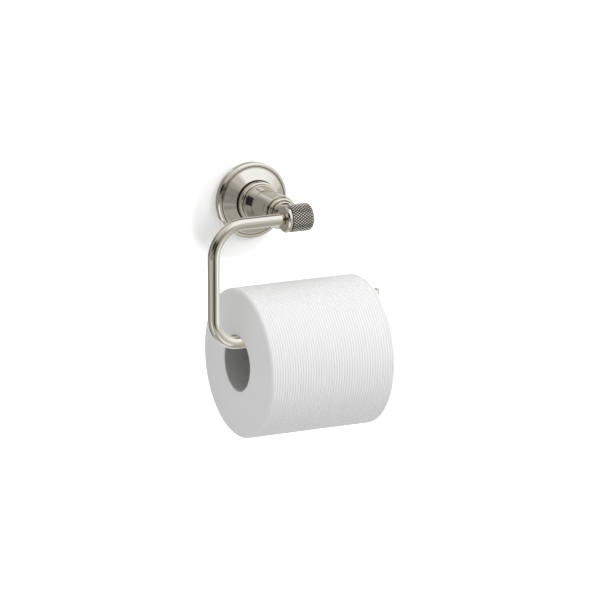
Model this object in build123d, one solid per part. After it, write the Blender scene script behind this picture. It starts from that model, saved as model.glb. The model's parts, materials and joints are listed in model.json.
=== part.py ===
from build123d import *
import os

# Wall-mounted toilet paper holder: a round turned flange and post carry a knurled barrel, and a bent
# rod swings in the barrel and holds the paper roll on its lower run. Every length is in millimetres.
# Frame: origin on the wall behind the centre of the flange, +Z up, +X along the wall to the right and
# -Y out of the wall into the room. Turned pieces on the post are drawn as (radius, distance from the
# wall), and pieces round the pivot or the roll as (place along X, radius).

# ---- wall bracket, hidden under the flange
bracket_gap = 4.55  # from the bracket's edge to the inside of the flange's rim
bracket_thickness = 4.0
bracket_undercut = 1.5  # how much smaller the disc is at the wall, so that the set screw draws it in
bracket_recess_diameter = 18.0
bracket_recess_depth = 1.2
screw_spacing = 32.0
screw_hole_diameter = 4.6
screw_head_diameter = 8.8

# ---- flange
flange_diameter = 63.5
flange_wall = 2.2
rim_depth = 4.6
rim_rounding = 1.1
lip_width = 2.9
lip_rise = 1.5
lip_rounding = 0.8
groove_width = 0.8
groove_depth = 0.8
fillet_ring_width = 1.0
cone_top_diameter = 37.5
cone_rise = 6.5
cone_ledge = 1.45  # width of the flat between the top of the cone and the boss
boss_height = 2.4
boss_web = 3.0

# ---- base ring between the flange and the post
base_ring_diameter = 36.0
base_ring_length = 4.5
base_ring_rounding = 1.5
base_bead_diameter = 32.6
base_bead_length = 1.6
base_bead_rounding = 0.6
base_groove_diameter = 31.4
base_groove_width = 0.6

# ---- post
post_length = 34.4
post_root_diameter = 31.2
post_flare_length = 9.0
post_waist_diameter = 28.2
post_end_diameter = 27.0
post_band_diameter = 27.8
post_band_length = 4.5
post_band_blend = 1.5  # length over which the taper rises to the band
post_bore_diameter = 19.6
spigot_length = 3.0

# ---- stepped collar and neck that carry the barrel
collar_ring_diameter = 25.0
collar_ring_length = 3.5
collar_ring_rounding = 1.5
collar_front_diameter = 20.4
collar_front_length = 2.0
collar_front_rounding = 1.0
collar_groove_width = 0.6
collar_groove_depth = 0.7
neck_diameter = 15.0
stem_length = 4.7  # from the collar's front to the barrel's skin
neck_spigot_diameter = 10.0
neck_spigot_setback = 1.0  # how far inside the neck its spigot starts

# ---- tie rod, nut and set screw
rod_diameter = 6.0
nut_across_flats = 10.0
nut_height = 5.0
tie_washer_diameter = 14.0
tie_washer_thickness = 1.2
rod_past_nut = 1.0
set_screw_diameter = 4.0
set_screw_key = 2.0
set_screw_key_depth = 2.2
set_screw_from_wall = 2.8
set_screw_recess = 0.4
set_screw_point = 0.8  # height of the cone at its tip
lug_gap = 1.2  # from the bracket's edge to the lug that holds the set screw

# ---- barrel and its pivot
barrel_diameter = 23.0
barrel_left = 9.5  # from the post's axis to the barrel's left face
barrel_right = 13.8
barrel_end_wall = 2.5
barrel_bore_diameter = 17.0
barrel_bevel = 1.2
smooth_band = 3.6
band_groove = 0.35
knurl_relief = 0.25
core_length = 14.0
bush_diameter = 12.8
bush_length = 3.6
journal_diameter = 8.0
journal_overhang = 1.0  # how far the journal stands out of the core
spring_washer_thickness = 0.4
spring_washer_bow = 0.35
thrust_washer_diameter = 12.4
thrust_washer_thickness = 1.0
end_screw_diameter = 4.0
end_screw_length = 9.0
end_screw_head_diameter = 7.2
end_screw_head_height = 2.2
end_screw_key = 2.5
end_screw_key_depth = 1.3
end_screw_hole_spare = 1.0  # how much deeper the hole is than the screw
end_cap_face = 1.4
end_cap_wall = 1.5

# ---- arm: one bent rod
arm_diameter = 10.0
arm_left = 72.5  # from the post's axis to the upright run
arm_right = 73.2  # from the post's axis to the upturned end
arm_drop = 98.5
upper_bend = 27.5
lower_bend = 21.5
end_bend = 12.0
tip_height = 31.6  # from the middle of the lower run to the top of the upturned end
tip_chamfer = 0.4

# ---- paper roll on its cardboard core
roll_diameter = 124.0
roll_length = 114.0
roll_rounding = 3.0
roll_shift = 5.3  # how far the roll sits to the right of the post's axis
core_bore_diameter = 45.0
core_wall = 1.0
core_inset = 0.5  # the core ends this far inside the roll's faces

# ---- clearances
slip = 0.05  # radial play of a piece that slides over or into another
running = 0.05  # radial play of the journal in its bushes
apart = 0.3  # gap between pieces that move past each other
shaft_gap = 0.35  # radial gap where the journal passes through a wall
fine_edge = 0.3  # rounding of small broken edges
soft_edge = 0.6  # rounding of edges that a hand meets

# ---- places that follow from the sizes
bracket_diameter = flange_diameter - 2 * (flange_wall + bracket_gap)
boss_diameter = cone_top_diameter - 2 * cone_ledge
rod_hole = rod_diameter / 2 + slip
lip_front = rim_depth + lip_rise
cone_front = lip_front + cone_rise
boss_front = cone_front + boss_height
ring_front = boss_front + base_ring_length
post_back = ring_front + base_groove_width + base_bead_length
post_front = post_back + post_length
collar_step = post_front + collar_groove_width + collar_ring_length
neck_back = collar_step + collar_groove_width + collar_front_length
pivot_reach = neck_back + stem_length + barrel_diameter / 2  # from the wall to the pivot's axis
spigot_radius = post_bore_diameter / 2 - slip
journal_radius = journal_diameter / 2
core_outer = barrel_bore_diameter / 2 - slip
core_end = core_length / 2
journal_end = core_end + journal_overhang
roll_drop = arm_drop - arm_diameter / 2 - apart + core_bore_diameter / 2


def outline(corners, place):
    """Closed face through the corners; a third value in a corner is its rounding."""
    spots = [place(corner[0], corner[1]) for corner in corners]
    face = make_face(Polyline(*spots, close=True))
    for corner, spot in zip(corners, spots):
        if len(corner) == 3:
            face = fillet(face.vertices().sort_by_distance(Vector(*spot))[0], corner[2])
    return face


def turned_on_post(corners):
    """Solid turned about the post's axis from (radius, distance from the wall) corners."""
    return revolve(outline(corners, lambda radius, depth: (radius, -depth)), Axis.Y)


def turned_on_pivot(corners, drop=0.0):
    """Solid turned about an axis along X that lies this far below the pivot."""
    shape = revolve(outline(corners, lambda along, radius: (along, radius)), Axis.X)
    return Pos(0, -pivot_reach, -drop) * shape


def washer(start, thickness, outer, inner):
    """Corners of a flat ring, as (place along the axis, radius)."""
    return [(start, inner), (start + thickness, inner), (start + thickness, outer), (start, outer)]


def pivot_cylinder(radius):
    """Endless cutter round the pivot's axis."""
    return Pos(0, -pivot_reach, 0) * Rot(0, 90, 0) * Cylinder(radius, 2 * barrel_diameter)


def into_post(shape, depth):
    """Stand a shape that is drawn along +Z on the post's axis, pointing out of the wall."""
    return Pos(0, -depth, 0) * Rot(90, 0, 0) * shape


def hex_prism(across_flats, height):
    """Hexagonal prism along +Z from the origin."""
    return extrude(RegularPolygon(across_flats / 2, 6, major_radius=False), height)


def wall_bracket():
    """Round plate with an undercut edge, two countersunk holes and a shallow recess in front."""
    edge = bracket_diameter / 2
    recess = bracket_recess_diameter / 2
    plate = turned_on_post([
        (0, 0),
        (edge - bracket_undercut, 0),
        (edge, bracket_thickness, fine_edge),
        (recess, bracket_thickness),
        (recess, bracket_thickness - bracket_recess_depth),
        (0, bracket_thickness - bracket_recess_depth),
    ])
    sink = (screw_head_diameter - screw_hole_diameter) / 2
    for side in (-1, 1):
        place = Pos(side * screw_spacing / 2, 0, 0)
        plate -= place * into_post(Cylinder(screw_hole_diameter / 2, 4 * bracket_thickness), 0)
        countersink = Cone(screw_hole_diameter / 2, screw_head_diameter / 2, sink)
        plate -= place * into_post(countersink, bracket_thickness - sink / 2)
    return plate


def flange():
    """Hollow turned shell: rounded rim, lip, groove, cone and boss, with a threaded lug below."""
    rim = flange_diameter / 2
    lip_inner = rim - lip_width
    groove_inner = lip_inner - groove_width
    cone_foot = groove_inner - fillet_ring_width
    cone_top = cone_top_diameter / 2
    boss = boss_diameter / 2
    inside = boss - flange_wall
    shell = turned_on_post([
        (rim - flange_wall, 0),
        (rim, 0, fine_edge),
        (rim, rim_depth, rim_rounding),
        (rim - lip_rise, lip_front, lip_rounding),
        (lip_inner, lip_front, fine_edge),
        (lip_inner, lip_front - groove_depth),
        (groove_inner, lip_front - groove_depth),
        (groove_inner, lip_front, fine_edge),
        (cone_foot, lip_front, fine_edge),
        (cone_top, cone_front, fine_edge),
        (boss, cone_front),
        (boss, boss_front),
        (rod_hole, boss_front),
        (rod_hole, boss_front - boss_web),
        (inside, boss_front - boss_web),
        (inside, cone_front - flange_wall),
        (cone_foot, lip_front - flange_wall - groove_depth),
        (rim - flange_wall, lip_front - flange_wall - groove_depth),
    ])
    # the lug inside the rim gives the set screw its thread
    lug_inner = bracket_diameter / 2 + lug_gap
    lug_length = rim - flange_wall / 2 - lug_inner
    lug = Pos(0, -set_screw_from_wall, -lug_inner) * extrude(Circle(set_screw_diameter), -lug_length)
    lug &= Pos(0, -flange_diameter / 2, 0) * Box(flange_diameter, flange_diameter, flange_diameter)
    thread = Cylinder(set_screw_diameter / 2, 2 * (lug_length + flange_wall))
    return shell + lug - Pos(0, -set_screw_from_wall, -rim) * thread


def set_screw():
    """Grub screw with a hexagon socket, pointing up at the edge of the bracket."""
    start = flange_diameter / 2 - set_screw_recess
    screw = extrude(Circle(set_screw_diameter / 2 - slip), start - bracket_diameter / 2 - apart)
    screw = chamfer(screw.edges().group_by(Axis.Z)[-1], set_screw_point)
    screw = chamfer(screw.edges().group_by(Axis.Z)[0], fine_edge)
    screw -= hex_prism(set_screw_key, set_screw_key_depth)
    return Pos(0, -set_screw_from_wall, -start) * screw


def base_ring():
    """Turned ring on the boss: a broad rounded band, a groove and a fine bead under the post."""
    ring = base_ring_diameter / 2
    groove = base_groove_diameter / 2
    bead = base_bead_diameter / 2
    return turned_on_post([
        (rod_hole, boss_front),
        (ring, boss_front, soft_edge),
        (ring, ring_front, base_ring_rounding),
        (groove, ring_front),
        (groove, ring_front + base_groove_width),
        (bead, ring_front + base_groove_width, fine_edge),
        (bead, post_back, base_bead_rounding),
        (spigot_radius, post_back),
        (spigot_radius, post_back + spigot_length),
        (rod_hole, post_back + spigot_length),
    ])


def post():
    """Hollow turned post: a flared root, a gentle taper and a plain band at its front end."""
    waist = post_waist_diameter / 2
    band = post_band_diameter / 2
    bore = post_bore_diameter / 2
    band_back = post_front - post_band_length
    return turned_on_post([
        (bore, post_back),
        (post_root_diameter / 2, post_back, fine_edge),
        (waist, post_back + post_flare_length, post_flare_length / 2),
        (post_end_diameter / 2, band_back - post_band_blend, post_band_blend),
        (band, band_back, post_band_blend),
        (band, post_front, soft_edge),
        (bore, post_front),
    ])


def step_collar():
    """Two stepped beads that bring the post down to the neck, with a spigot in the post's bore."""
    ring = collar_ring_diameter / 2
    front = collar_front_diameter / 2
    ring_back = post_front + collar_groove_width
    front_back = collar_step + collar_groove_width
    return turned_on_post([
        (rod_hole, post_front - spigot_length),
        (spigot_radius, post_front - spigot_length),
        (spigot_radius, post_front),
        (ring - collar_groove_depth, post_front),
        (ring - collar_groove_depth, ring_back),
        (ring, ring_back, fine_edge),
        (ring, collar_step, collar_ring_rounding),
        (front - collar_groove_depth, collar_step),
        (front - collar_groove_depth, front_back),
        (front, front_back, fine_edge),
        (front, neck_back, collar_front_rounding),
        (rod_hole, neck_back),
    ])


def neck():
    """Stem between collar and barrel, scooped to sit on the barrel, with a spigot to the core."""
    stem = turned_on_post([
        (rod_hole, neck_back),
        (neck_diameter / 2, neck_back),
        (neck_diameter / 2, pivot_reach),
        (rod_hole, pivot_reach),
    ])
    stem -= pivot_cylinder(barrel_diameter / 2)
    spigot = turned_on_post([
        (rod_hole, neck_back + neck_spigot_setback),
        (neck_spigot_diameter / 2, neck_back + neck_spigot_setback),
        (neck_spigot_diameter / 2, pivot_reach),
        (rod_hole, pivot_reach),
    ])
    return stem + (spigot - pivot_cylinder(core_outer + slip))


def tie_rod():
    """Threaded rod that draws flange, rings, post and neck on to the pivot core."""
    back = boss_front - boss_web - tie_washer_thickness - nut_height - rod_past_nut
    front = pivot_reach - journal_radius - shaft_gap - apart
    rod = rod_diameter / 2
    return turned_on_post([(0, back), (rod, back, soft_edge), (rod, front, soft_edge), (0, front)])


def tie_washer():
    """Plain washer between the nut and the flange's web."""
    front = boss_front - boss_web
    outer = tie_washer_diameter / 2
    return turned_on_post([
        (rod_hole, front - tie_washer_thickness),
        (outer, front - tie_washer_thickness, fine_edge),
        (outer, front),
        (rod_hole, front),
    ])


def tie_nut():
    """Hexagon nut behind the flange."""
    front = boss_front - boss_web - tie_washer_thickness
    nut = into_post(hex_prism(nut_across_flats, nut_height), front - nut_height)
    return nut - into_post(Cylinder(rod_hole, 4 * nut_height), front)


def barrel():
    """Cup with a closed left end: smooth band, shallow groove and the seat of the knurled band."""
    outer = barrel_diameter / 2
    bore = barrel_bore_diameter / 2
    knurl_start = smooth_band - barrel_left
    cup = turned_on_pivot([
        (-barrel_left, journal_radius + shaft_gap),
        (-barrel_left, outer - barrel_bevel),
        (barrel_bevel - barrel_left, outer, soft_edge),
        (knurl_start - band_groove, outer),
        (knurl_start - band_groove, outer - band_groove),
        (knurl_start, outer - band_groove),
        (knurl_start, outer - knurl_relief),
        (barrel_right - barrel_bevel, outer - knurl_relief),
        (barrel_right, outer - barrel_bevel),
        (barrel_right, bore),
        (barrel_end_wall - barrel_left, bore),
        (barrel_end_wall - barrel_left, journal_radius + shaft_gap),
    ])
    opening = into_post(Cylinder(neck_spigot_diameter / 2 + slip, barrel_diameter), 0)
    return cup - Pos(0, barrel_diameter / 2 - pivot_reach, 0) * opening


def pivot_core():
    """Brass core inside the barrel, bored at both ends for the bushes and tapped for the tie rod."""
    pocket = bush_diameter / 2 + slip
    land = journal_radius + shaft_gap
    shoulder = core_end - bush_length
    body = turned_on_pivot([
        (-core_end, pocket),
        (-core_end, core_outer, fine_edge),
        (core_end, core_outer, fine_edge),
        (core_end, pocket),
        (shoulder, pocket),
        (shoulder, land),
        (-shoulder, land),
        (-shoulder, pocket),
    ])
    tapping = into_post(Cylinder(rod_hole, pivot_reach), pivot_reach / 2)
    return body - tapping


def bush(side):
    """Nylon bush in one end of the core; side is -1 for the left end and 1 for the right."""
    start = min(side * core_end, side * (core_end - bush_length))
    return turned_on_pivot(washer(start, bush_length, bush_diameter / 2, journal_radius + running))


def spring_washer():
    """Bowed ring that takes up the end play of the arm."""
    outer = bush_diameter / 2 - apart
    inner = journal_radius + shaft_gap
    ring = turned_on_pivot(washer(core_end, 4 * spring_washer_bow + spring_washer_thickness, outer, inner))
    bow_radius = (outer ** 2 + spring_washer_bow ** 2) / (2 * spring_washer_bow)
    width = 4 * outer
    bow = Cylinder(bow_radius, width) - Cylinder(bow_radius - spring_washer_thickness, 2 * width)
    crown = core_end + spring_washer_bow + spring_washer_thickness
    return ring & (Pos(crown - bow_radius, -pivot_reach, 0) * bow)


def thrust_washer():
    """Flat washer screwed to the end of the journal; it keeps the arm in the barrel."""
    inner = end_screw_diameter / 2 + 2 * slip
    ring = washer(journal_end, thrust_washer_thickness, thrust_washer_diameter / 2, inner)
    return turned_on_pivot(ring)


def end_screw():
    """Socket screw that holds the thrust washer on the journal."""
    seat = journal_end + thrust_washer_thickness
    shank = end_screw_diameter / 2 - slip
    head = end_screw_head_diameter / 2
    top = seat + end_screw_head_height
    screw = turned_on_pivot([
        (seat - end_screw_length, 0),
        (seat - end_screw_length, shank, fine_edge),
        (seat, shank),
        (seat, head),
        (top, head, soft_edge),
        (top, 0),
    ])
    socket = Rot(0, -90, 0) * hex_prism(end_screw_key, end_screw_key_depth)
    return screw - Pos(top, -pivot_reach, 0) * socket


def end_cap():
    """Cap in the barrel's right mouth; its skirt seats on the core."""
    outer = core_outer
    skirt = outer - end_cap_wall
    return turned_on_pivot([
        (core_end, skirt),
        (barrel_right - end_cap_face, skirt),
        (barrel_right - end_cap_face, 0),
        (barrel_right, 0),
        (barrel_right, outer, fine_edge),
        (core_end, outer),
    ])


def arm():
    """Bent rod with a turned-down journal, a long hanging loop and an upturned end."""
    shoulder = -barrel_left - apart
    tip = -arm_drop + tip_height
    route = FilletPolyline(
        (shoulder, -pivot_reach, 0),
        (-arm_left, -pivot_reach, 0),
        (-arm_left, -pivot_reach, -arm_drop),
        (arm_right, -pivot_reach, -arm_drop),
        (arm_right, -pivot_reach, tip),
        radius=[upper_bend, lower_bend, end_bend],
    )
    rod = sweep(Plane(origin=route @ 0, z_dir=route % 0) * Circle(arm_diameter / 2), path=route)
    rod = chamfer(rod.edges().filter_by(GeomType.CIRCLE).sort_by_distance(route @ 1)[0], tip_chamfer)
    hole = end_screw_diameter / 2 + slip
    hole_end = journal_end + thrust_washer_thickness - end_screw_length - end_screw_hole_spare
    journal = turned_on_pivot([
        (shoulder - arm_diameter / 2, 0),
        (shoulder - arm_diameter / 2, journal_radius),
        (journal_end, journal_radius, fine_edge),
        (journal_end, hole),
        (hole_end, hole),
        (hole_end, 0),
    ])
    return rod + journal


def cardboard_core():
    """Tube that the paper is wound on."""
    length = roll_length - 2 * core_inset
    start = roll_shift - length / 2
    bore = core_bore_diameter / 2
    return turned_on_pivot(washer(start, length, bore + core_wall, bore), roll_drop)


def paper_roll():
    """Full roll of paper with softly rounded edges."""
    inner = core_bore_diameter / 2 + core_wall + slip
    outer = roll_diameter / 2
    left = roll_shift - roll_length / 2
    right = roll_shift + roll_length / 2
    return turned_on_pivot([
        (left, inner),
        (left, outer, roll_rounding),
        (right, outer, roll_rounding),
        (right, inner),
    ], roll_drop)


pieces = {
    "wall_bracket": wall_bracket(),
    "flange": flange(),
    "set_screw": set_screw(),
    "base_ring": base_ring(),
    "post": post(),
    "step_collar": step_collar(),
    "neck": neck(),
    "tie_rod": tie_rod(),
    "tie_washer": tie_washer(),
    "tie_nut": tie_nut(),
    "barrel": barrel(),
    "pivot_core": pivot_core(),
    "bush_left": bush(-1),
    "bush_right": bush(1),
    "spring_washer": spring_washer(),
    "end_cap": end_cap(),
    "arm": arm(),
    "thrust_washer": thrust_washer(),
    "end_screw": end_screw(),
    "cardboard_core": cardboard_core(),
    "paper_roll": paper_roll(),
}

os.makedirs("parts", exist_ok=True)
for name, piece in pieces.items():
    export_step(piece, "parts/" + name + ".step")
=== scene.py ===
"""Wall-mounted toilet paper holder in polished nickel, with a full roll on its swinging arm.

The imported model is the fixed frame: origin on the wall behind the flange, +Z up, -Y into the room.
The turned pieces, the bent arm, the knurled barrel and the roll are modelled here in more detail
and stand for the plain solids; the neck, the cap and the pieces inside keep their solids and get a
finish.
"""
import json
import math

import bmesh
import bpy
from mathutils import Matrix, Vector


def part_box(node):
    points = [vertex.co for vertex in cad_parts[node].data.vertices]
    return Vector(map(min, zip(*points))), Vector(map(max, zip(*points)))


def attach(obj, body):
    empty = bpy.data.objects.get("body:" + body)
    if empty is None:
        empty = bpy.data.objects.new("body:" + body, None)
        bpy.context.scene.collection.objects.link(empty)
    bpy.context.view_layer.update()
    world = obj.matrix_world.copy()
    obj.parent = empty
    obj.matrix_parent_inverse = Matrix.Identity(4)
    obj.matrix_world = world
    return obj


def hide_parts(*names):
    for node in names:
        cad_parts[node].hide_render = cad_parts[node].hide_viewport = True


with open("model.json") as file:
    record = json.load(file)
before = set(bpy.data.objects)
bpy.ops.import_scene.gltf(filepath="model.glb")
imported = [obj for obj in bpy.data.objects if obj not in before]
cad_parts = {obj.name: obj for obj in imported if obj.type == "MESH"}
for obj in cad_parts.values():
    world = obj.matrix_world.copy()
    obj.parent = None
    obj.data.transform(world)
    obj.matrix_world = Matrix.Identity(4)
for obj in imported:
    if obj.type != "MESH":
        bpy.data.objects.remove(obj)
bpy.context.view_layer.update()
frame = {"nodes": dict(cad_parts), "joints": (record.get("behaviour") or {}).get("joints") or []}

MM = 0.001
TAU = 2 * math.pi

# ------------------------------------------------------------------ sizes that pieces share, in mm
ROD_HOLE = 3.05  # radius of the tie rod's hole through the stack
SPIGOT = 9.75  # radius of the spigots that centre the post
SPIGOT_LENGTH = 3.0
POST_BORE = 9.8
GROOVE_WIDTH = 0.6  # the narrow grooves turned beside the beads
GROOVE_DEPTH = 0.7
BEVEL = 1.2  # at both ends of the barrel
KNURL_START = 3.6  # from the barrel's left face
KNURL_DEPTH = 0.55
KNURL_RELIEF = 0.35  # groove before the knurl, and how far the knurl runs onto the right bevel

# ------------------------------------------------------------------ places taken from the frame
joints = {joint["name"]: joint for joint in frame["joints"]}
pivot = Vector(joints["arm_swing"]["pos_m"])
roll_axis = Vector(joints["roll_spin"]["pos_m"])


def corners_of(node):
    """Lowest and highest corner of a solid, in millimetres."""
    low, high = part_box(node)
    return low / MM, high / MM


# ------------------------------------------------------------------ mesh helpers
ROUND_STEPS = 6  # points on each rounded corner of a profile
RING_STEPS = 256  # points round each turned piece


def rounded(corners, closed=True, steps=ROUND_STEPS):
    """Points of an outline, in millimetres; a third value in a corner is its rounding."""
    points = []
    count = len(corners)
    for index, corner in enumerate(corners):
        here = Vector(corner[:2])
        radius = corner[2] if len(corner) == 3 else 0
        is_end = not closed and index in (0, count - 1)
        if radius == 0 or is_end:
            points.append(here)
            continue
        back = (Vector(corners[index - 1][:2]) - here).normalized()
        ahead = (Vector(corners[(index + 1) % count][:2]) - here).normalized()
        half = back.angle(ahead) / 2
        centre = here + (back + ahead).normalized() * (radius / math.sin(half))
        start = here + back * (radius / math.tan(half)) - centre
        finish = here + ahead * (radius / math.tan(half)) - centre
        sweep = start.angle(finish)
        for step in range(steps + 1):
            share = step / steps
            spoke = start * math.sin((1 - share) * sweep) + finish * math.sin(share * sweep)
            points.append(centre + spoke / math.sin(sweep))
    return points


def on_post(radius, depth, turn):
    """A point round the post's axis, at a depth in front of the wall."""
    return Vector((radius * math.cos(turn), -depth, radius * math.sin(turn))) * MM


def on_pivot(along, radius, turn):
    """A point round the pivot's axis."""
    return pivot + Vector((along, radius * math.cos(turn), radius * math.sin(turn))) * MM


def on_roll(along, radius, turn):
    """A point round the roll's axis; along is measured from the post's plane."""
    centre = Vector((0, roll_axis.y, roll_axis.z))
    return centre + Vector((along, radius * math.cos(turn), radius * math.sin(turn))) * MM


def grid_faces(mesh, rings, closed_rings):
    """Quads between neighbouring rings of vertices."""
    count = len(rings)
    around = len(rings[0])
    last = count if closed_rings else count - 1
    for index in range(last):
        lower, upper = rings[index], rings[(index + 1) % count]
        for step in range(around):
            after = (step + 1) % around
            mesh.faces.new((lower[step], lower[after], upper[after], upper[step]))


def finish_mesh(name, mesh, material, sharp=35, weighted=True):
    """Turn a bmesh into an object with clean outward normals."""
    bmesh.ops.recalc_face_normals(mesh, faces=mesh.faces)
    data = bpy.data.meshes.new(name)
    mesh.to_mesh(data)
    mesh.free()
    data.shade_smooth()
    data.set_sharp_from_angle(angle=math.radians(sharp))
    data.materials.append(material)
    piece = bpy.data.objects.new(name, data)
    bpy.context.scene.collection.objects.link(piece)
    if weighted:
        normals = piece.modifiers.new("even_normals", "WEIGHTED_NORMAL")
        normals.keep_sharp = True
    return piece


def turned(name, corners, place, material, around=RING_STEPS, recesses=()):
    """A ring-shaped turned piece: a closed outline carried round an axis.

    Recesses are boxes in the outline's plane, as low and high of its first value, low and high of
    its second, and the finish that the surface keeps inside the box.
    """
    outline = rounded(corners)
    mesh = bmesh.new()
    rings = [
        [mesh.verts.new(place(point.x, point.y, TAU * step / around)) for step in range(around)]
        for point in outline
    ]
    grid_faces(mesh, rings, closed_rings=True)
    piece = finish_mesh(name, mesh, material)
    for slot, (low_x, high_x, low_y, high_y, recess_finish) in enumerate(recesses, start=1):
        piece.data.materials.append(recess_finish)
        for index, point in enumerate(outline):
            middle = (point + outline[(index + 1) % len(outline)]) / 2
            if low_x < middle.x < high_x and low_y < middle.y < high_y:
                for face in range(index * around, (index + 1) * around):
                    piece.data.polygons[face].material_index = slot
    return piece


# ------------------------------------------------------------------ materials
class Field:
    """A socket that takes part in arithmetic; each operator adds a Math node."""

    def __init__(self, maker, socket):
        self.maker = maker
        self.socket = socket

    def __add__(self, other):
        return self.maker.math("ADD", self, other)

    def __radd__(self, other):
        return self.maker.math("ADD", other, self)

    def __sub__(self, other):
        return self.maker.math("SUBTRACT", self, other)

    def __rsub__(self, other):
        return self.maker.math("SUBTRACT", other, self)

    def __mul__(self, other):
        return self.maker.math("MULTIPLY", self, other)

    def __rmul__(self, other):
        return self.maker.math("MULTIPLY", other, self)

    def __truediv__(self, other):
        return self.maker.math("DIVIDE", self, other)

    def __pow__(self, other):
        return self.maker.math("POWER", self, other)


class Finish:
    """The node tree of one material or of the surroundings."""

    def __init__(self, name, owner=None):
        self.owner = owner or bpy.data.materials.new(name)
        self.owner.use_nodes = True
        self.tree = self.owner.node_tree
        self.tree.nodes.clear()

    def node(self, kind, settings=None, sockets=None, output=0):
        """Add a node: settings first, then values or links of its sockets; gives one output."""
        made = self.tree.nodes.new(kind)
        for key, value in (settings or {}).items():
            setattr(made, key, value)
        for key, value in (sockets or {}).items():
            if isinstance(value, Field):
                self.tree.links.new(value.socket, made.inputs[key])
            else:
                made.inputs[key].default_value = value
        return Field(self, made.outputs[output]) if len(made.outputs) else made

    def math(self, operation, *values):
        sockets = dict(enumerate(values))
        return self.node("ShaderNodeMath", {"operation": operation}, sockets)

    def smooth_step(self, value, low, high):
        """0 below low, 1 above high, smooth between."""
        settings = {"interpolation_type": "SMOOTHSTEP"}
        return self.node("ShaderNodeMapRange", settings, {"Value": value, 1: low, 2: high})

    def within(self, value, low, high, soft):
        """1 between low and high, falling to 0 over a soft edge."""
        rise = self.smooth_step(value, low - soft, low + soft)
        fall = self.smooth_step(value, high - soft, high + soft)
        return rise * (1 - fall)

    def blend(self, factor, first, second):
        """Mix two colours; sockets 6 and 7 and output 2 are the node's colour ones."""
        settings = {"data_type": "RGBA"}
        return self.node("ShaderNodeMix", settings, {0: factor, 6: first, 7: second}, output=2)

    def place(self):
        """The piece's own coordinates, in metres."""
        return self.node("ShaderNodeTexCoord", output="Object")

    def light_path(self):
        """Camera, glossy and transmission rays, each 1 or 0."""
        outputs = self.node("ShaderNodeLightPath").socket.node.outputs
        kinds = ("Camera", "Glossy", "Transmission")
        return [Field(self, outputs["Is %s Ray" % kind]) for kind in kinds]

    def noise(self, scale, detail=2.0, roughness=0.5, vector=None):
        """Fine irregular grain; the scale is in cells to the metre."""
        sockets = {"Scale": scale, "Detail": detail, "Roughness": roughness}
        sockets["Vector"] = vector or self.place()
        return self.node("ShaderNodeTexNoise", None, sockets)

    def split(self, vector):
        """The three parts of a vector."""
        outputs = self.node("ShaderNodeSeparateXYZ", None, {0: vector}).socket.node.outputs
        return [Field(self, output) for output in outputs]

    def bump(self, height, distance, strength=1.0):
        sockets = {"Height": height, "Distance": distance, "Strength": strength}
        return self.node("ShaderNodeBump", None, sockets)

    def surface(self, **values):
        """Principled shader; underscores in a name stand for spaces."""
        sockets = {key.replace("_", " "): value for key, value in values.items()}
        shader = self.node("ShaderNodeBsdfPrincipled", None, sockets)
        self.output(shader)
        return self.owner

    def output(self, shader, kind="ShaderNodeOutputMaterial"):
        self.node(kind, None, {"Surface": shader})


def grey(value):
    """A colour without hue."""
    return (value, value, value, 1)


def polished_nickel():
    """Mirror-bright warm plate; faint clouds and polishing marks break up the gloss."""
    finish = Finish("polished_nickel")
    cloud = finish.noise(scale=60.0, detail=3.0)
    wipe = finish.noise(scale=900.0, detail=2.0)
    colour = finish.blend(cloud, (0.650, 0.612, 0.525, 1), (0.690, 0.652, 0.562, 1))
    haze = 0.055 + 0.05 * cloud * wipe
    relief = finish.bump(wipe, distance=0.000004, strength=0.5)
    return finish.surface(Base_Color=colour, Metallic=1.0, Roughness=haze, Normal=relief)


def rough_shaded_nickel(name, dark, light):
    """The plate down in the narrow grooves, where no polishing wheel reaches: rougher, and darkened
    with painted shade.
    """
    finish = Finish(name)
    grain = finish.noise(scale=1200.0, detail=3.0)
    colour = finish.blend(grain, dark, light)
    relief = finish.bump(grain, distance=0.00001, strength=0.4)
    gloss = 0.42 + 0.1 * grain
    return finish.surface(Base_Color=colour, Metallic=1.0, Roughness=gloss, Normal=relief)


def knurl_nickel_with_painted_shade(outer, valley):
    """The plate on the knurl, with painted shade down in the grooves and a painted highlight on the
    points.
    """
    finish = Finish("knurl_nickel_with_painted_shade")
    _, y, z = finish.split(finish.place())
    radius = ((y - pivot.y) ** 2 + (z - pivot.z) ** 2) ** 0.5
    painted_shade_below = 0.2 * outer + 0.8 * valley
    painted_highlight_above = 0.85 * outer + 0.15 * valley
    height = finish.smooth_step(radius, painted_shade_below, painted_highlight_above)
    grain = finish.noise(scale=1500.0, detail=3.0)
    # painted shade and highlight: nearly black down in the grooves, brighter than the plain plate on
    # the points
    dark, bright = (0.012, 0.011, 0.009, 1), (0.80, 0.755, 0.655, 1)
    colour = finish.blend(height + 0.1 * grain, dark, bright)
    relief = finish.bump(grain, distance=0.00001, strength=0.4)
    gloss = 0.25 - 0.15 * height
    return finish.surface(Base_Color=colour, Metallic=1.0, Roughness=gloss, Normal=relief)


def machined(name, dark, bright, roughness, grain=1600.0):
    """Plain machined metal: fine grain in colour, gloss and relief."""
    finish = Finish(name)
    fine = finish.noise(scale=grain, detail=4.0)
    broad = finish.noise(scale=grain / 12, detail=2.0)
    colour = finish.blend(0.5 * fine + 0.5 * broad, dark, bright)
    relief = finish.bump(fine, distance=0.00002, strength=0.4)
    gloss = roughness + 0.12 * broad
    return finish.surface(Base_Color=colour, Metallic=1.0, Roughness=gloss, Normal=relief)


def moulded_nylon():
    """Natural nylon, slightly mottled."""
    finish = Finish("moulded_nylon")
    mottle = finish.noise(scale=700.0, detail=3.0)
    colour = finish.blend(mottle, (0.80, 0.79, 0.74, 1), (0.87, 0.86, 0.82, 1))
    relief = finish.bump(mottle, distance=0.00003, strength=0.3)
    return finish.surface(Base_Color=colour, Roughness=0.45 + 0.1 * mottle, Normal=relief)


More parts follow.
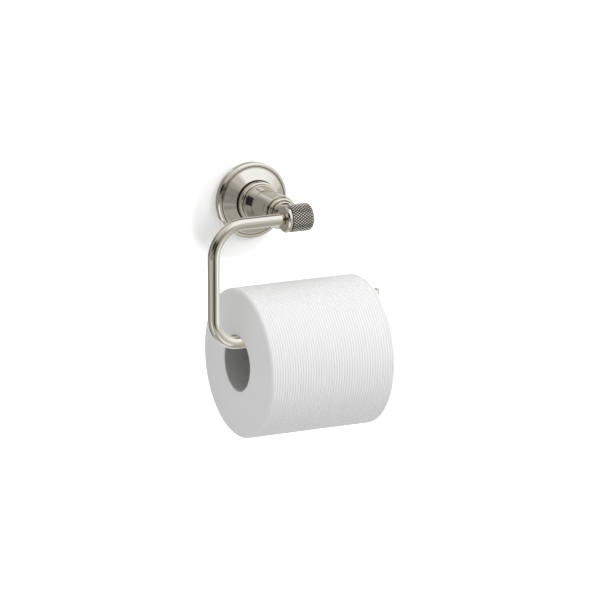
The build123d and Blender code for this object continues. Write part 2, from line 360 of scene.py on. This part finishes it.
def tissue():
    """Soft white tissue: fine fibres and a slow change of tone."""
    finish = Finish("tissue")
    place = finish.place()
    fibres = finish.noise(scale=1500.0, detail=5.0, roughness=0.65, vector=place)
    tone = finish.noise(scale=25.0, detail=2.0, vector=place)
    colour = finish.blend(0.6 * fibres + 0.4 * tone, grey(0.86), grey(0.93))
    relief = finish.bump(fibres, distance=0.00008, strength=0.35)
    return finish.surface(Base_Color=colour, Roughness=0.92 + 0.06 * tone, Normal=relief)


def winding_ends():
    """The cut ends of the wound sheet: fine rings about the roll's axis."""
    finish = Finish("winding_ends")
    place = finish.place()
    x, y, z = finish.split(place)
    radius = ((y - roll_axis.y) ** 2 + (z - roll_axis.z) ** 2) ** 0.5
    spiral = finish.node("ShaderNodeCombineXYZ", None, {0: radius * 2600.0, 1: x * 20.0})
    layers = finish.noise(scale=1.0, detail=3.0, roughness=0.7, vector=spiral)
    fibres = finish.noise(scale=1300.0, detail=4.0, roughness=0.6, vector=place)
    colour = finish.blend(0.6 * layers + 0.4 * fibres, grey(0.80), grey(0.90))
    relief = finish.bump(layers + 0.5 * fibres, distance=0.00010, strength=0.3)
    return finish.surface(Base_Color=colour, Roughness=0.96 - 0.04 * fibres, Normal=relief)


def board():
    """Board of the core, set darker than its own grey-white as painted shade for the inside of the
    tube, with the slanting seam of its wound strip.
    """
    finish = Finish("board")
    place = finish.place()
    x, y, z = finish.split(place)
    turn = finish.math("ARCTAN2", z - roll_axis.z, y - roll_axis.y)
    turns_per_metre = 12.0
    step = finish.math("FRACT", (x * turns_per_metre + turn / TAU) + 4.0)  # 4 keeps it positive
    seam = finish.within(step, 0.49, 0.51, 0.012)
    fibres = finish.noise(scale=900.0, detail=5.0, roughness=0.7, vector=place)
    # painted shade: this grey is well below grey-white board, for the shade down inside the tube
    plain = finish.blend(fibres, grey(0.338), grey(0.438))
    colour = finish.blend(0.15 * seam, plain, grey(0.295))
    relief = finish.bump(fibres - seam, distance=0.00012, strength=0.4)
    return finish.surface(Base_Color=colour, Roughness=0.9 + 0.08 * fibres, Normal=relief)


barrel_outer = corners_of("barrel")[1].z

NICKEL = polished_nickel()
# painted shade on rougher plate: these two finishes darken the grooves and recesses, the second one
# less
ROUGH_AND_SHADED = rough_shaded_nickel("rough_shaded_nickel", (0.070, 0.064, 0.052, 1), (0.120, 0.110, 0.090, 1))
HALF_ROUGH_AND_SHADED = rough_shaded_nickel("half_rough_shaded_nickel", (0.300, 0.280, 0.240, 1), (0.380, 0.355, 0.305, 1))
KNURL = knurl_nickel_with_painted_shade(barrel_outer * MM, (barrel_outer - KNURL_DEPTH) * MM)
STEEL = machined("plain_steel", (0.42, 0.42, 0.43, 1), (0.58, 0.58, 0.59, 1), 0.25)
ZINC = machined("zinc_plate", (0.50, 0.52, 0.54, 1), (0.66, 0.67, 0.68, 1), 0.38, grain=500.0)
BRASS = machined("machined_brass", (0.62, 0.45, 0.18, 1), (0.78, 0.60, 0.27, 1), 0.22)
NYLON = moulded_nylon()
TISSUE = tissue()
ENDS = winding_ends()
BOARD = board()


# ------------------------------------------------------------------ the turned mounting
def flange():
    """Rounded rim, lip, groove, cone and boss, with the hollow behind."""
    low, high = corners_of("flange")
    rim = high.x
    boss_front = -low.y
    wall, web = 2.2, 3.0
    rim_depth, shoulder = 4.6, 1.5
    lip_front = rim_depth + shoulder
    lip_inner = rim - 2.9
    groove = 0.8  # as deep as wide
    groove_inner = lip_inner - groove
    groove_floor = lip_front - groove
    cone_foot = groove_inner - 1.0
    cone_top, cone_front = 18.75, lip_front + 6.5
    boss = 17.3
    inside = boss - wall
    return turned("flange_shell", [
        (rim - wall, 0),
        (rim, 0, 0.35),
        (rim, rim_depth, 1.2),
        (rim - shoulder, lip_front, 0.9),
        (lip_inner, lip_front, 0.3),
        (lip_inner, groove_floor, 0.15),
        (groove_inner, groove_floor, 0.15),
        (groove_inner, lip_front, 0.3),
        (cone_foot, lip_front, 0.4),
        (cone_top, cone_front, 0.35),
        (boss, cone_front, 0.2),
        (boss, boss_front),
        (ROD_HOLE, boss_front),
        (ROD_HOLE, boss_front - web),
        (inside, boss_front - web),
        (inside, cone_front - wall),
        (cone_foot, groove_floor - wall),
        (rim - wall, groove_floor - wall),
    ], on_post, NICKEL, recesses=[
        (groove_inner - 0.1, lip_inner + 0.1, groove_floor - 0.2, groove_floor + 0.2, HALF_ROUGH_AND_SHADED),
        (boss - 0.2, cone_top - 0.3, cone_front - 0.1, boss_front, ROUGH_AND_SHADED),
    ])


def base_ring():
    """Broad rounded band, groove and fine bead under the post."""
    low, high = corners_of("base_ring")
    ring, bead = high.x, 16.3
    groove = bead - GROOVE_DEPTH
    back, spigot_front = -high.y, -low.y
    band = back + 4.5
    bead_back = band + GROOVE_WIDTH
    post_back = spigot_front - SPIGOT_LENGTH
    return turned("base_ring_band", [
        (ROD_HOLE, back),
        (ring, back, 0.5),
        (ring, band, 1.6),
        (groove, band, 0.2),
        (groove, bead_back, 0.2),
        (bead, bead_back, 0.3),
        (bead, post_back, 0.6),
        (SPIGOT, post_back),
        (SPIGOT, spigot_front),
        (ROD_HOLE, spigot_front),
    ], on_post, NICKEL, recesses=[(groove - 0.1, bead + 0.1, band - 0.1, bead_back + 0.05, ROUGH_AND_SHADED)])


def post():
    """Flared root, gentle taper and a plain band at the front."""
    low, high = corners_of("post")
    back, front = -high.y, -low.y
    root = high.x
    waist, end, band = 14.1, 13.5, 13.9
    flare, blend, band_width = 9.0, 1.5, 4.5
    band_back = front - band_width
    return turned("tapered_post", [
        (POST_BORE, back),
        (root, back, 0.2),
        (waist, back + flare, 3.0),
        (end, band_back - blend, blend),
        (band, band_back, blend),
        (band, front, 0.5),
        (POST_BORE, front),
    ], on_post, NICKEL)


def step_collar():
    """Two stepped beads between the post and the neck."""
    low, high = corners_of("step_collar")
    spigot_back, front = -high.y, -low.y
    ring, bead = high.x, 10.2
    ring_groove, bead_groove = ring - GROOVE_DEPTH, bead - GROOVE_DEPTH
    post_front = spigot_back + SPIGOT_LENGTH
    ring_back = post_front + GROOVE_WIDTH
    step = ring_back + 3.5
    bead_back = step + GROOVE_WIDTH
    return turned("stepped_collar", [
        (ROD_HOLE, spigot_back),
        (SPIGOT, spigot_back),
        (SPIGOT, post_front),
        (ring_groove, post_front, 0.1),
        (ring_groove, ring_back, 0.2),
        (ring, ring_back, 0.3),
        (ring, step, 1.6),
        (bead_groove, step, 0.2),
        (bead_groove, bead_back, 0.2),
        (bead, bead_back, 0.3),
        (bead, front, 1.0),
        (ROD_HOLE, front),
    ], on_post, NICKEL, recesses=[
        (ring_groove - 0.1, ring - 0.1, post_front - 0.1, ring_back + 0.05, ROUGH_AND_SHADED),
        (bead_groove - 0.1, bead - 0.1, step - 0.1, bead_back + 0.05, ROUGH_AND_SHADED),
    ])


# ------------------------------------------------------------------ the barrel
def barrel():
    """Cup with a closed left end: bevel, smooth band, groove and the seat of the knurl."""
    low, high = corners_of("barrel")
    left, right = low.x, high.x
    outer, bore, journal_hole = high.z, 8.5, 4.35
    cup_floor = left + 2.5
    knurl_start = left + KNURL_START
    band_end = knurl_start - KNURL_RELIEF
    seat = outer - KNURL_DEPTH
    return turned("barrel_cup", [
        (left, journal_hole, 0.2),
        (left, outer - BEVEL, 0.25),
        (left + BEVEL, outer, 0.5),
        (band_end, outer, 0.12),
        (band_end, seat, 0.1),
        (right - BEVEL, seat),
        (right, outer - BEVEL, 0.25),
        (right, bore, 0.2),
        (cup_floor, bore),
        (cup_floor, journal_hole),
    ], on_pivot, NICKEL, recesses=[
        (band_end - 0.05, right - BEVEL, seat - 0.1, outer - 0.1, ROUGH_AND_SHADED),
    ])


def knurled_band():
    """Diamond knurl rolled into the barrel: flat-topped points between crossing grooves."""
    low, high = corners_of("barrel")
    outer = high.z
    valley = outer - KNURL_DEPTH
    start, finish = low.x + KNURL_START, high.x - BEVEL + KNURL_RELIEF
    pitch, length = 2.35, 3.15  # a diamond's size round the barrel and along it
    flat = 0.26  # share of half a diamond that stays flat on top
    around = round(TAU * outer / pitch)
    rows = round(2 * (finish - start) / length)
    spots = ((-flat, 0), (0, -flat), (flat, 0), (0, flat))  # corners of a flat top
    mesh = bmesh.new()

    def vertex(column, row, radius):
        along = start + (finish - start) * row / rows
        return mesh.verts.new(on_pivot(along, radius, TAU * column / (2 * around)))

    crossings = {}
    for row in range(rows + 1):
        for column in range(row % 2, 2 * around, 2):
            crossings[column, row] = vertex(column, row, valley)

    def crossing(column, row):
        return crossings[column % (2 * around), row]

    for row in range(rows + 1):
        for column in range((row + 1) % 2, 2 * around, 2):
            left, right = crossing(column - 1, row), crossing(column + 1, row)
            if row == 0:
                mesh.faces.new((left, right, crossing(column, 1)))
                continue
            if row == rows:
                mesh.faces.new((right, left, crossing(column, rows - 1)))
                continue
            ends = (left, crossing(column, row - 1), right, crossing(column, row + 1))
            top = [vertex(column + dx, row + dy, outer) for dx, dy in spots]
            mesh.faces.new(top)
            for side in range(4):
                after = (side + 1) % 4
                mesh.faces.new((ends[side], ends[after], top[after], top[side]))
    return finish_mesh("knurled_band", mesh, KNURL, sharp=12, weighted=False)


# ------------------------------------------------------------------ the arm
def arm():
    """One bent rod: journal in the barrel, upright run, lower run and upturned end."""
    low, high = corners_of("arm")
    radius, journal = high.z, 4.0
    left, right = low.x + radius, high.x - radius
    bottom, tip_rise = low.z + radius, 31.6
    upper_bend, lower_bend, tip_bend = 27.5, 21.5, 12.0
    barrel_gap, journal_end = 0.3, 8.0
    shoulder = corners_of("barrel")[0].x - barrel_gap
    chamfer, edge, edge_steps = 0.35, 0.6, 4  # of the shoulder, and of the tip's rounded edge
    bend_steps, around = 28, 72
    line = rounded([
        (shoulder, 0),
        (left, 0, upper_bend),
        (left, bottom, lower_bend),
        (right, bottom, tip_bend),
        (right, bottom + tip_rise),
    ], closed=False, steps=bend_steps)
    # each station is a point on the middle line and the rod's radius there
    stations = [(Vector((journal_end, 0)), journal), (Vector((shoulder, 0)), journal)]
    stations += [(line[0], radius - chamfer), (line[0] + Vector((-chamfer, 0)), radius)]
    stations += [(point, radius) for point in line[1:-1]]
    for step in range(edge_steps + 1):
        turn = math.pi / 2 * step / edge_steps
        drop = edge * (1 - math.sin(turn))
        inset = edge * (1 - math.cos(turn))
        stations.append((line[-1] - Vector((0, drop)), radius - inset))
    mesh = bmesh.new()
    rings = []
    for index, (point, size) in enumerate(stations):
        ahead = stations[min(index + 1, len(stations) - 1)][0] - stations[max(index - 1, 0)][0]
        along = ahead.normalized() if ahead.length > 1e-6 else Vector((-1, 0))
        across = Vector((-along.y, along.x))
        ring = []
        for step in range(around):
            turn = TAU * step / around
            flat = point + across * (size * math.cos(turn))
            spot = Vector((flat.x, size * math.sin(turn), flat.y)) * MM
            ring.append(mesh.verts.new(Vector((0, pivot.y, pivot.z)) + spot))
        rings.append(ring)
    grid_faces(mesh, rings, closed_rings=False)
    mesh.faces.new(rings[0])
    mesh.faces.new(rings[-1])
    return finish_mesh("bent_arm", mesh, NICKEL)


# ------------------------------------------------------------------ the roll
def paper_roll():
    """Wound tissue: ribbed side with its last edge underneath, rounded edges, wound ends."""
    low, high = corners_of("paper_roll")
    inset = 0.2  # of the ends, so that their soft unevenness stays inside the solid
    left, right = low.x + inset, high.x - inset
    outer = (high.z - low.z) / 2
    tube_low, tube_high = corners_of("cardboard_core")
    inner = (tube_high.z - tube_low.z) / 2 + 0.05
    rib_pitch, rib_depth = 2.35, 0.42
    sheet_edge = 0.28  # height of the step where the last sheet ends
    edge_place = 0.28  # share of a turn from that step to the side that faces the wall
    margin, soft_depth = 0.12, 8  # kept inside the solid, and how deep the unevenness reaches
    rounding, rounding_steps = 3.2, 8
    around, points_per_rib, rings_on_end = 200, 8, 44
    ribs = round((high.x - low.x - 2 * rounding) / rib_pitch)
    mesh = bmesh.new()

    def spot(along, radius, turn, rib=0.0, end=0.0):
        wound = (turn / TAU + edge_place) % 1.0
        drift = 0.10 * math.sin(3 * turn + along * 0.05) + 0.07 * math.sin(5 * turn + 1.3)
        outside = max(0.0, (radius - outer + soft_depth) / soft_depth)
        size = radius - outside * (sheet_edge * wound + margin + drift * 0.6) - rib
        lean = end * 0.04 * math.sin(radius * 5.3 + turn)
        return on_roll(along + lean, size, turn)

    # each entry is a place along the roll, a radius, a rib's depth and how much of the end's lean
    profile = []
    for step in range(rings_on_end):
        radius = inner + (outer - rounding - inner) * step / rings_on_end
        profile.append((left, radius, 0.0, 1.0))
    for step in range(rounding_steps + 1):
        turn = math.pi / 2 * step / rounding_steps
        along = left + rounding * (1 - math.cos(turn))
        profile.append((along, outer - rounding * (1 - math.sin(turn)), 0.0, 0.0))
    side_start, side_end = left + rounding, right - rounding
    count = ribs * points_per_rib
    for step in range(1, count):
        along = side_start + (side_end - side_start) * step / count
        wave = math.sin(math.pi * step / points_per_rib) ** 2
        profile.append((along, outer, rib_depth * (1 - wave) ** 2, 0.0))
    for along, radius, rib, end in [entry for entry in profile if entry[2] == 0.0][::-1]:
        if along < side_start + 1e-6:
            profile.append((left + right - along, radius, 0.0, -end))
    rings = []
    for along, radius, rib, end in profile:
        ring = []
        for step in range(around):
            turn = TAU * step / around
            ring.append(mesh.verts.new(spot(along, radius, turn, rib, end)))
        rings.append(ring)
    grid_faces(mesh, rings, closed_rings=True)
    piece = finish_mesh("wound_paper", mesh, TISSUE, sharp=60, weighted=False)
    piece.data.materials.append(ENDS)
    for face in piece.data.polygons:
        if abs(face.normal.x) > 0.9:
            face.material_index = 1
    return piece


def core():
    """Board tube in the roll, with softened edges."""
    low, high = corners_of("cardboard_core")
    outer = (high.z - low.z) / 2
    wall, edge = 1.0, 0.25
    return turned("board_core", [
        (low.x, outer - wall, edge),
        (low.x, outer, edge),
        (high.x, outer, edge),
        (high.x, outer - wall, edge),
    ], on_roll, BOARD, around=192)


def place_pieces():
    """Put each made piece on its body in place of its solid."""
    mounting = {
        "flange": flange(),
        "base_ring": base_ring(),
        "post": post(),
        "step_collar": step_collar(),
    }
    for node, piece in mounting.items():
        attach(piece, "mounting")
        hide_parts(node)
    for piece in (barrel(), knurled_band()):
        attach(piece, "mounting")
        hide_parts("barrel")
    rod = arm()
    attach(rod, "swing_arm")
    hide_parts("arm")
    paper = paper_roll()
    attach(paper, "roll")
    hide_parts("paper_roll")
    tube = core()
    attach(tube, "roll")
    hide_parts("cardboard_core")
    for piece in (paper, tube):
        piece.visible_glossy = False  # the plate mirrors the studio, not the roll


def dress_solids():
    """Give each kept solid its finish."""
    finishes = {
        NICKEL: ("neck", "end_cap"),
        STEEL: ("set_screw", "tie_rod", "tie_washer", "tie_nut", "spring_washer",
                "thrust_washer", "end_screw"),
        ZINC: ("wall_bracket",),
        BRASS: ("pivot_core",),
        NYLON: ("bush_left", "bush_right"),
    }
    for material, names in finishes.items():
        for name in names:
            slots = frame["nodes"][name].data.materials
            slots.clear()
            slots.append(material)


# ------------------------------------------------------------------ stage, light and camera
ROOM_LIGHT = 0.50  # light of the room on matt surfaces at the height of the eye
OVERHEAD = 0.5  # how much brighter, as a share, the room is overhead

# Softboxes that light the matt surfaces: azimuth and elevation in degrees, distance and width in
# metres, power in watts. Azimuth 0 is straight out of the wall, positive to the right.
LAMPS = {
    "key": (50, 30, 1.5, 0.8, 10.8),
    "fill": (-50, 25, 1.8, 1.2, 2.5),
}

# What the metal mirrors in the white room, seen from the holder: lowest and highest azimuth,
# lowest and highest elevation, radiance, and softness of the edge. A later row covers an earlier.
PANELS = {
    "grey side": (-117, 26, -95, 52, 0.50, 14),
    "upper grey": (-86, -6, 37, 49, 0.73, 4),
    "grey corner": (-170, -111, -54, 42, 0.35, 14),
    "wall band": (129, 183, 8, 36, 0.63, 4),
    "softbox": (13, 92, 14, 95, 1.24, 5),
    "softbox foot": (28, 102, -20, 1, 0.66, 3),
    "right floor": (-42, 133, -95, -24, 0.53, 3),
    "foot glow": (-14, 24, -66, -28, 1.15, 4),
    "right fade": (54, 82, -40, 15, 1.05, 12),
    "low strip": (37, 78, -22, -8, 1.40, 3),
    "ceiling": (-13, 85, 30, 98, 1.38, 12),
    "high back shade": (98, 181, 43, 72, 0.30, 3),
    "high corner shade": (-181, -128, 46, 66, 0.40, 3),
    "low corner shade": (-175, -128, -42, -25, 0.27, 4),
    "bend glow": (-78, -57, -50, -15, 1.20, 2),
    "cone shade": (-57, -45, -26, -17, 0.38, 2),
    "side glow": (-96, -62, -16, -9, 0.72, 4),
    "grey flag": (-85, 0, -11, 27, 0.35, 3),
    "upper flag": (-92, -48, 8, 32, 0.11, 3),
    "black flag": (-142, -129, -6, 29, 0.03, 3),
    "front shade": (-33, 5, -24, -10, 0.17, 4),
    "front flag": (-25, -8, -19, 13, 0.06, 3),
    "bend flag": (-42, -24, -3, 19, 0.0, 2),
    "high bend flag": (-76, -53, 13, 27, 0.0, 2),
}


def direction(azimuth, elevation):
    """Unit vector from the holder towards a lamp or the camera, from angles in degrees."""
    turn, rise = math.radians(azimuth), math.radians(elevation)
    level = math.cos(rise)
    return Vector((math.sin(turn) * level, -math.cos(turn) * level, math.sin(rise)))


def aim(name, data, target, away, distance):
    """Put a lamp or the camera at a distance from a target and turn it towards it."""
    holder = bpy.data.objects.new(name, data)
    holder.location = target + away * distance
    holder.rotation_mode = "QUATERNION"
    holder.rotation_quaternion = (-away).to_track_quat("-Z", "Y")
    bpy.context.scene.collection.objects.link(holder)
    return holder


def lamps():
    """Square softboxes aimed at the holder; they light matt surfaces and stay out of the metal."""
    target = Vector((0, roll_axis.y, roll_axis.z / 2))
    for name, (azimuth, elevation, distance, width, power) in LAMPS.items():
        light = bpy.data.lights.new(name, "AREA")
        light.size = width
        light.energy = power
        holder = aim(name, light, target, direction(azimuth, elevation), distance)
        holder.visible_glossy = False


def stage_finish(name, shade):
    """Matt stage, white to the eye through a painted glow that is weaker round the flange, so that
    the soft shadow shows only there.
    """
    finish = Finish(name)
    x, _, z = finish.split(finish.place())
    left, below = 0.014, 0.009  # the middle of the weaker painted glow, from the post's axis
    distance = ((x + left) ** 2 + (z + below) ** 2) ** 0.5
    # painted light: the glow rises away from that middle and washes out the shadows of the arm and
    # the roll on the wall
    strength = 0.2 + 0.8 * finish.smooth_step(distance, 0.034, 0.060)
    camera_ray, glossy, transmission = finish.light_path()
    plain = finish.node("ShaderNodeBsdfDiffuse", None, {"Color": grey(shade)})
    lift = finish.node("ShaderNodeEmission", None, {"Color": grey(1.0), "Strength": strength})
    bright = finish.node("ShaderNodeAddShader", None, {0: plain, 1: lift})
    seen = camera_ray + glossy + transmission
    front = finish.node("ShaderNodeMixShader", None, {0: seen, 1: plain, 2: bright})
    clear = finish.node("ShaderNodeBsdfTransparent")
    back = finish.node("ShaderNodeNewGeometry", output="Backfacing")
    finish.output(finish.node("ShaderNodeMixShader", None, {0: back, 1: front, 2: clear}))
    return finish.owner


def sheet(name, corners, material):
    """A flat stage panel."""
    data = bpy.data.meshes.new(name)
    data.from_pydata([Vector(corner) for corner in corners], [], [(0, 1, 2, 3)])
    data.materials.append(material)
    panel = bpy.data.objects.new(name, data)
    bpy.context.scene.collection.objects.link(panel)
    panel.visible_glossy = False


def stage():
    """The wall that the holder hangs on, and a pale floor far below."""
    half, wall_place, floor_height = 1.6, 0.0004, -0.7
    sheet("back_wall", [
        (-half, wall_place, floor_height),
        (half, wall_place, floor_height),
        (half, wall_place, half),
        (-half, wall_place, half),
    ], stage_finish("white_wall", 0.9))
    sheet("floor", [
        (-half, -2 * half, floor_height),
        (half, -2 * half, floor_height),
        (half, wall_place, floor_height),
        (-half, wall_place, floor_height),
    ], stage_finish("pale_floor", 0.73))


def surroundings():
    """White room; the metal also sees the softboxes and the grey and black flags in it."""
    scene = bpy.context.scene
    scene.world = bpy.data.worlds.new("studio")
    finish = Finish("studio", scene.world)
    x, y, z = finish.split(finish.node("ShaderNodeTexCoord", output="Generated"))
    azimuth = finish.math("DEGREES", finish.math("ARCTAN2", x, 0 - y))
    elevation = finish.math("DEGREES", finish.math("ARCSINE", z))
    studio = finish.node("ShaderNodeValue")
    studio.socket.default_value = 1.0
    for left, right, low, high, radiance, edge in PANELS.values():
        across = finish.within(azimuth, left, right, edge)
        share = across * finish.within(elevation, low, high, edge)
        studio = studio + share * (radiance - studio)
    camera_ray, glossy, transmission = finish.light_path()
    seen = camera_ray + transmission + glossy
    room = ROOM_LIGHT * (1 + OVERHEAD * z)
    strength = (camera_ray + transmission) + glossy * studio + (1 - seen) * room
    cool = glossy * finish.smooth_step(studio, 0.8, 1.3)  # the brightest panels are a little blue
    tint = finish.blend(cool, grey(1.0), (0.95, 0.99, 1.06, 1))
    glow = finish.node("ShaderNodeBackground", None, {"Color": tint, "Strength": strength})
    finish.output(glow, "ShaderNodeOutputWorld")


def camera():
    """Long lens from the left front and a little above."""
    lens = bpy.data.cameras.new("camera")
    lens.lens = 364.4
    lens.sensor_width = 36
    lens.clip_end = 50
    target = Vector((0.0279, -0.0360, -0.0807))
    bpy.context.scene.camera = aim("camera", lens, target, direction(-27.09, 13.47), 5.0)


place_pieces()
dress_solids()
stage()
surroundings()
lamps()
camera()
bpy.context.scene.view_settings.view_transform = "Standard"
